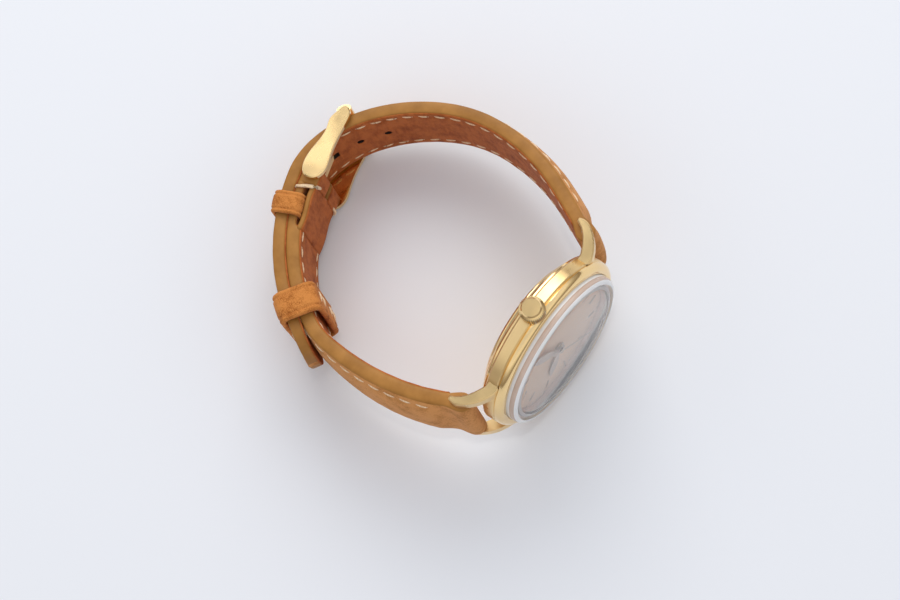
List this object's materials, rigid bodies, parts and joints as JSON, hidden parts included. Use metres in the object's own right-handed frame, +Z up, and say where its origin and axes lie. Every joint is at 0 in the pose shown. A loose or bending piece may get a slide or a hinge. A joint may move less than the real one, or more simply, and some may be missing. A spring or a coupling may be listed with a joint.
{
  "type": "wristwatch",
  "caption": "Round hand-wound dress wristwatch with a domed crystal, stepped case, lugs and a buckled leather strap, lying closed on its side.",
  "frame": {"origin": "centre of the bounding box's bottom face, on the surface the watch lies on", "axes": "+Z up in the resting pose; the dial faces +X, leaning up by 8 degrees; twelve o'clock points along -Y and three o'clock, with the crown, points up"},
  "size_m": [0.067, 0.0584, 0.0397],
  "materials": {
    "gold_case": "polished, gold plated",
    "crystal_acrylic": "clear, domed acrylic",
    "dial_salmon": "matte",
    "hands_grey": "satin",
    "movement_brass": "matte gilt",
    "steel": "fine brushed",
    "ruby": "polished synthetic ruby",
    "gasket_rubber": "matte",
    "holder_plastic": "matte",
    "strap_tan": "nubuck",
    "strap_lining": "grained"
  },
  "bodies": {
    "case": {"mid_case": "gold_case", "bezel": "gold_case", "crystal": "crystal_acrylic", "tension_ring": "steel", "case_back": "gold_case", "case_back_gasket": "gasket_rubber", "dial": "dial_salmon", "dial_markers": "hands_grey", "main_plate": "movement_brass", "barrel_bridge": "movement_brass", "train_bridge": "movement_brass", "balance_cock": "movement_brass", "pallet_bridge": "movement_brass", "bridge_screws": "steel", "jewels": "ruby", "movement_holder": "holder_plastic", "casing_clamps": "steel", "casing_screws": "steel", "click_spring": "steel", "hairspring": "steel", "crown_tube": "steel", "strap_long_outer": "strap_tan", "strap_long_lining": "strap_lining", "strap_short_outer": "strap_tan", "strap_short_lining": "strap_lining", "keeper_fixed": "strap_tan", "buckle_bar": "gold_case", "spring_bar_12": "steel", "spring_bar_6": "steel"},
    "crown_slide": {"crown_gasket": "gasket_rubber"},
    "crown": {"crown": "gold_case", "winding_stem": "steel"},
    "sliding_pinion": {"sliding_pinion": "steel"},
    "winding_pinion": {"winding_pinion": "steel"},
    "crown_wheel": {"crown_wheel": "steel"},
    "ratchet": {"ratchet_wheel": "steel", "barrel_arbor": "steel"},
    "click": {"click": "steel"},
    "setting_lever": {"setting_lever": "steel"},
    "yoke": {"yoke": "steel"},
    "minute": {"minute_hand": "hands_grey", "cannon_pinion": "steel"},
    "hour": {"hour_hand": "hands_grey", "hour_wheel": "movement_brass"},
    "minute_wheel": {"minute_wheel": "movement_brass"},
    "setting_wheel": {"setting_wheel": "steel"},
    "seconds": {"seconds_hand": "hands_grey", "fourth_wheel": "movement_brass"},
    "third": {"third_wheel": "movement_brass"},
    "centre": {"centre_wheel": "movement_brass"},
    "escape": {"escape_wheel": "steel"},
    "barrel": {"barrel_drum": "movement_brass", "barrel_cover": "movement_brass", "mainspring": "steel"},
    "balance": {"balance_wheel": "movement_brass"},
    "pallet": {"pallet_fork": "steel"},
    "buckle": {"buckle_frame": "gold_case"},
    "tongue": {"buckle_tongue": "gold_case"},
    "keeper": {"keeper_floating": "strap_tan"}
  },
  "joints": [
    {"name": "crown_pull", "type": "slide", "parent": "case", "child": "crown_slide", "axis": [-0.145, 0, 0.9894], "range_m": [0, 0.001]},
    {"name": "crown_turn", "type": "hinge", "parent": "crown_slide", "child": "crown", "pos_m": [0.02712, 0.00019, 0.01809], "axis": [-0.145, 0, 0.9894], "continuous": true},
    {"name": "clutch_slide", "type": "slide", "parent": "crown", "child": "sliding_pinion", "axis": [-0.145, 0, 0.9894], "range_m": [-0.00145, 0]},
    {"name": "winding_pinion_turn", "type": "hinge", "parent": "case", "child": "winding_pinion", "pos_m": [0.02712, 0.00019, 0.01809], "axis": [-0.145, 0, 0.9894], "continuous": true},
    {"name": "crown_wheel_turn", "type": "hinge", "parent": "case", "child": "crown_wheel", "pos_m": [0.02221, 0.00019, 0.02511], "axis": [0.9894, 0, 0.145], "continuous": true},
    {"name": "ratchet_turn", "type": "hinge", "parent": "case", "child": "ratchet", "pos_m": [0.02295, -0.00534, 0.02003], "axis": [0.9894, 0, 0.145], "continuous": true},
    {"name": "click_lift", "type": "hinge", "parent": "case", "child": "click", "pos_m": [0.02387, -0.00894, 0.01375], "axis": [-0.9894, 0, -0.145], "range_deg": [0, 10]},
    {"name": "setting_lever_turn", "type": "hinge", "parent": "case", "child": "setting_lever", "pos_m": [0.02614, -0.00211, 0.02866], "axis": [0.9894, 0, 0.145], "range_deg": [0, 25]},
    {"name": "yoke_turn", "type": "hinge", "parent": "case", "child": "yoke", "pos_m": [0.02663, -0.00401, 0.0253], "axis": [0.9894, 0, 0.145], "range_deg": [-7.7, 0]},
    {"name": "minute_turn", "type": "hinge", "parent": "case", "child": "minute", "pos_m": [0.02931, 0.00019, 0.01841], "axis": [0.9894, 0, 0.145], "continuous": true},
    {"name": "hour_turn", "type": "hinge", "parent": "case", "child": "hour", "pos_m": [0.02891, 0.00019, 0.01836], "axis": [0.9894, 0, 0.145], "continuous": true},
    {"name": "minute_wheel_turn", "type": "hinge", "parent": "case", "child": "minute_wheel", "pos_m": [0.02743, 0.00184, 0.02052], "axis": [0.9894, 0, 0.145], "continuous": true},
    {"name": "setting_wheel_turn", "type": "hinge", "parent": "case", "child": "setting_wheel", "pos_m": [0.02701, 0.00019, 0.02342], "axis": [0.9894, 0, 0.145], "continuous": true},
    {"name": "seconds_turn", "type": "hinge", "parent": "case", "child": "seconds", "pos_m": [0.02777, 0.00019, 0.01819], "axis": [0.9894, 0, 0.145], "continuous": true},
    {"name": "third_turn", "type": "hinge", "parent": "case", "child": "third", "pos_m": [0.0254, 0.00329, 0.01337], "axis": [0.9894, 0, 0.145], "continuous": true},
    {"name": "centre_turn", "type": "hinge", "parent": "case", "child": "centre", "pos_m": [0.02505, 0.00019, 0.01779], "axis": [0.9894, 0, 0.145], "continuous": true},
    {"name": "escape_turn", "type": "hinge", "parent": "case", "child": "escape", "pos_m": [0.02539, 0.00542, 0.01858], "axis": [0.9894, 0, 0.145], "continuous": true},
    {"name": "barrel_turn", "type": "hinge", "parent": "case", "child": "barrel", "pos_m": [0.02498, -0.00534, 0.02033], "axis": [0.9894, 0, 0.145], "continuous": true},
    {"name": "balance_swing", "type": "hinge", "parent": "case", "child": "balance", "pos_m": [0.02403, 0.00613, 0.02305], "axis": [0.9894, 0, 0.145], "range_deg": [-270, 270]},
    {"name": "pallet_rock", "type": "hinge", "parent": "case", "child": "pallet", "pos_m": [0.02503, 0.0058, 0.02103], "axis": [0.9894, 0, 0.145], "range_deg": [-4, 4]},
    {"name": "buckle_pivot", "type": "hinge", "parent": "case", "child": "buckle", "pos_m": [-0.02764, 0.00089, 0.01007], "axis": [-0.145, 0, 0.9894], "range_deg": [0, 4]},
    {"name": "tongue_pivot", "type": "hinge", "parent": "buckle", "child": "tongue", "pos_m": [-0.02764, 0.00089, 0.01007], "axis": [-0.145, 0, 0.9894], "range_deg": [0, 4]},
    {"name": "keeper_slide", "type": "hinge", "parent": "case", "child": "keeper", "pos_m": [0.0068, 0.00909, 0.01511], "axis": [-0.145, 0, 0.9894], "range_deg": [-20, 0]}
  ],
  "couplings": [
    {"joint": "clutch_slide", "follows": "crown_pull", "ratio": -1.45},
    {"joint": "setting_lever_turn", "follows": "crown_pull", "rad_per_m": 434.78},
    {"joint": "yoke_turn", "follows": "crown_pull", "rad_per_m": -133.14},
    {"joint": "winding_pinion_turn", "follows": "crown_turn", "ratio": 1},
    {"joint": "crown_wheel_turn", "follows": "crown_turn", "ratio": 0.5},
    {"joint": "ratchet_turn", "follows": "crown_turn", "ratio": -0.3},
    {"joint": "minute_wheel_turn", "follows": "minute_turn", "ratio": -0.33333},
    {"joint": "hour_turn", "follows": "minute_turn", "ratio": 0.083333},
    {"joint": "setting_wheel_turn", "follows": "minute_turn", "ratio": 0.6},
    {"joint": "third_turn", "follows": "seconds_turn", "ratio": -0.13333},
    {"joint": "centre_turn", "follows": "seconds_turn", "ratio": 0.016667},
    {"joint": "escape_turn", "follows": "seconds_turn", "ratio": -10},
    {"joint": "barrel_turn", "follows": "seconds_turn", "ratio": -0.0020833}
  ]
}
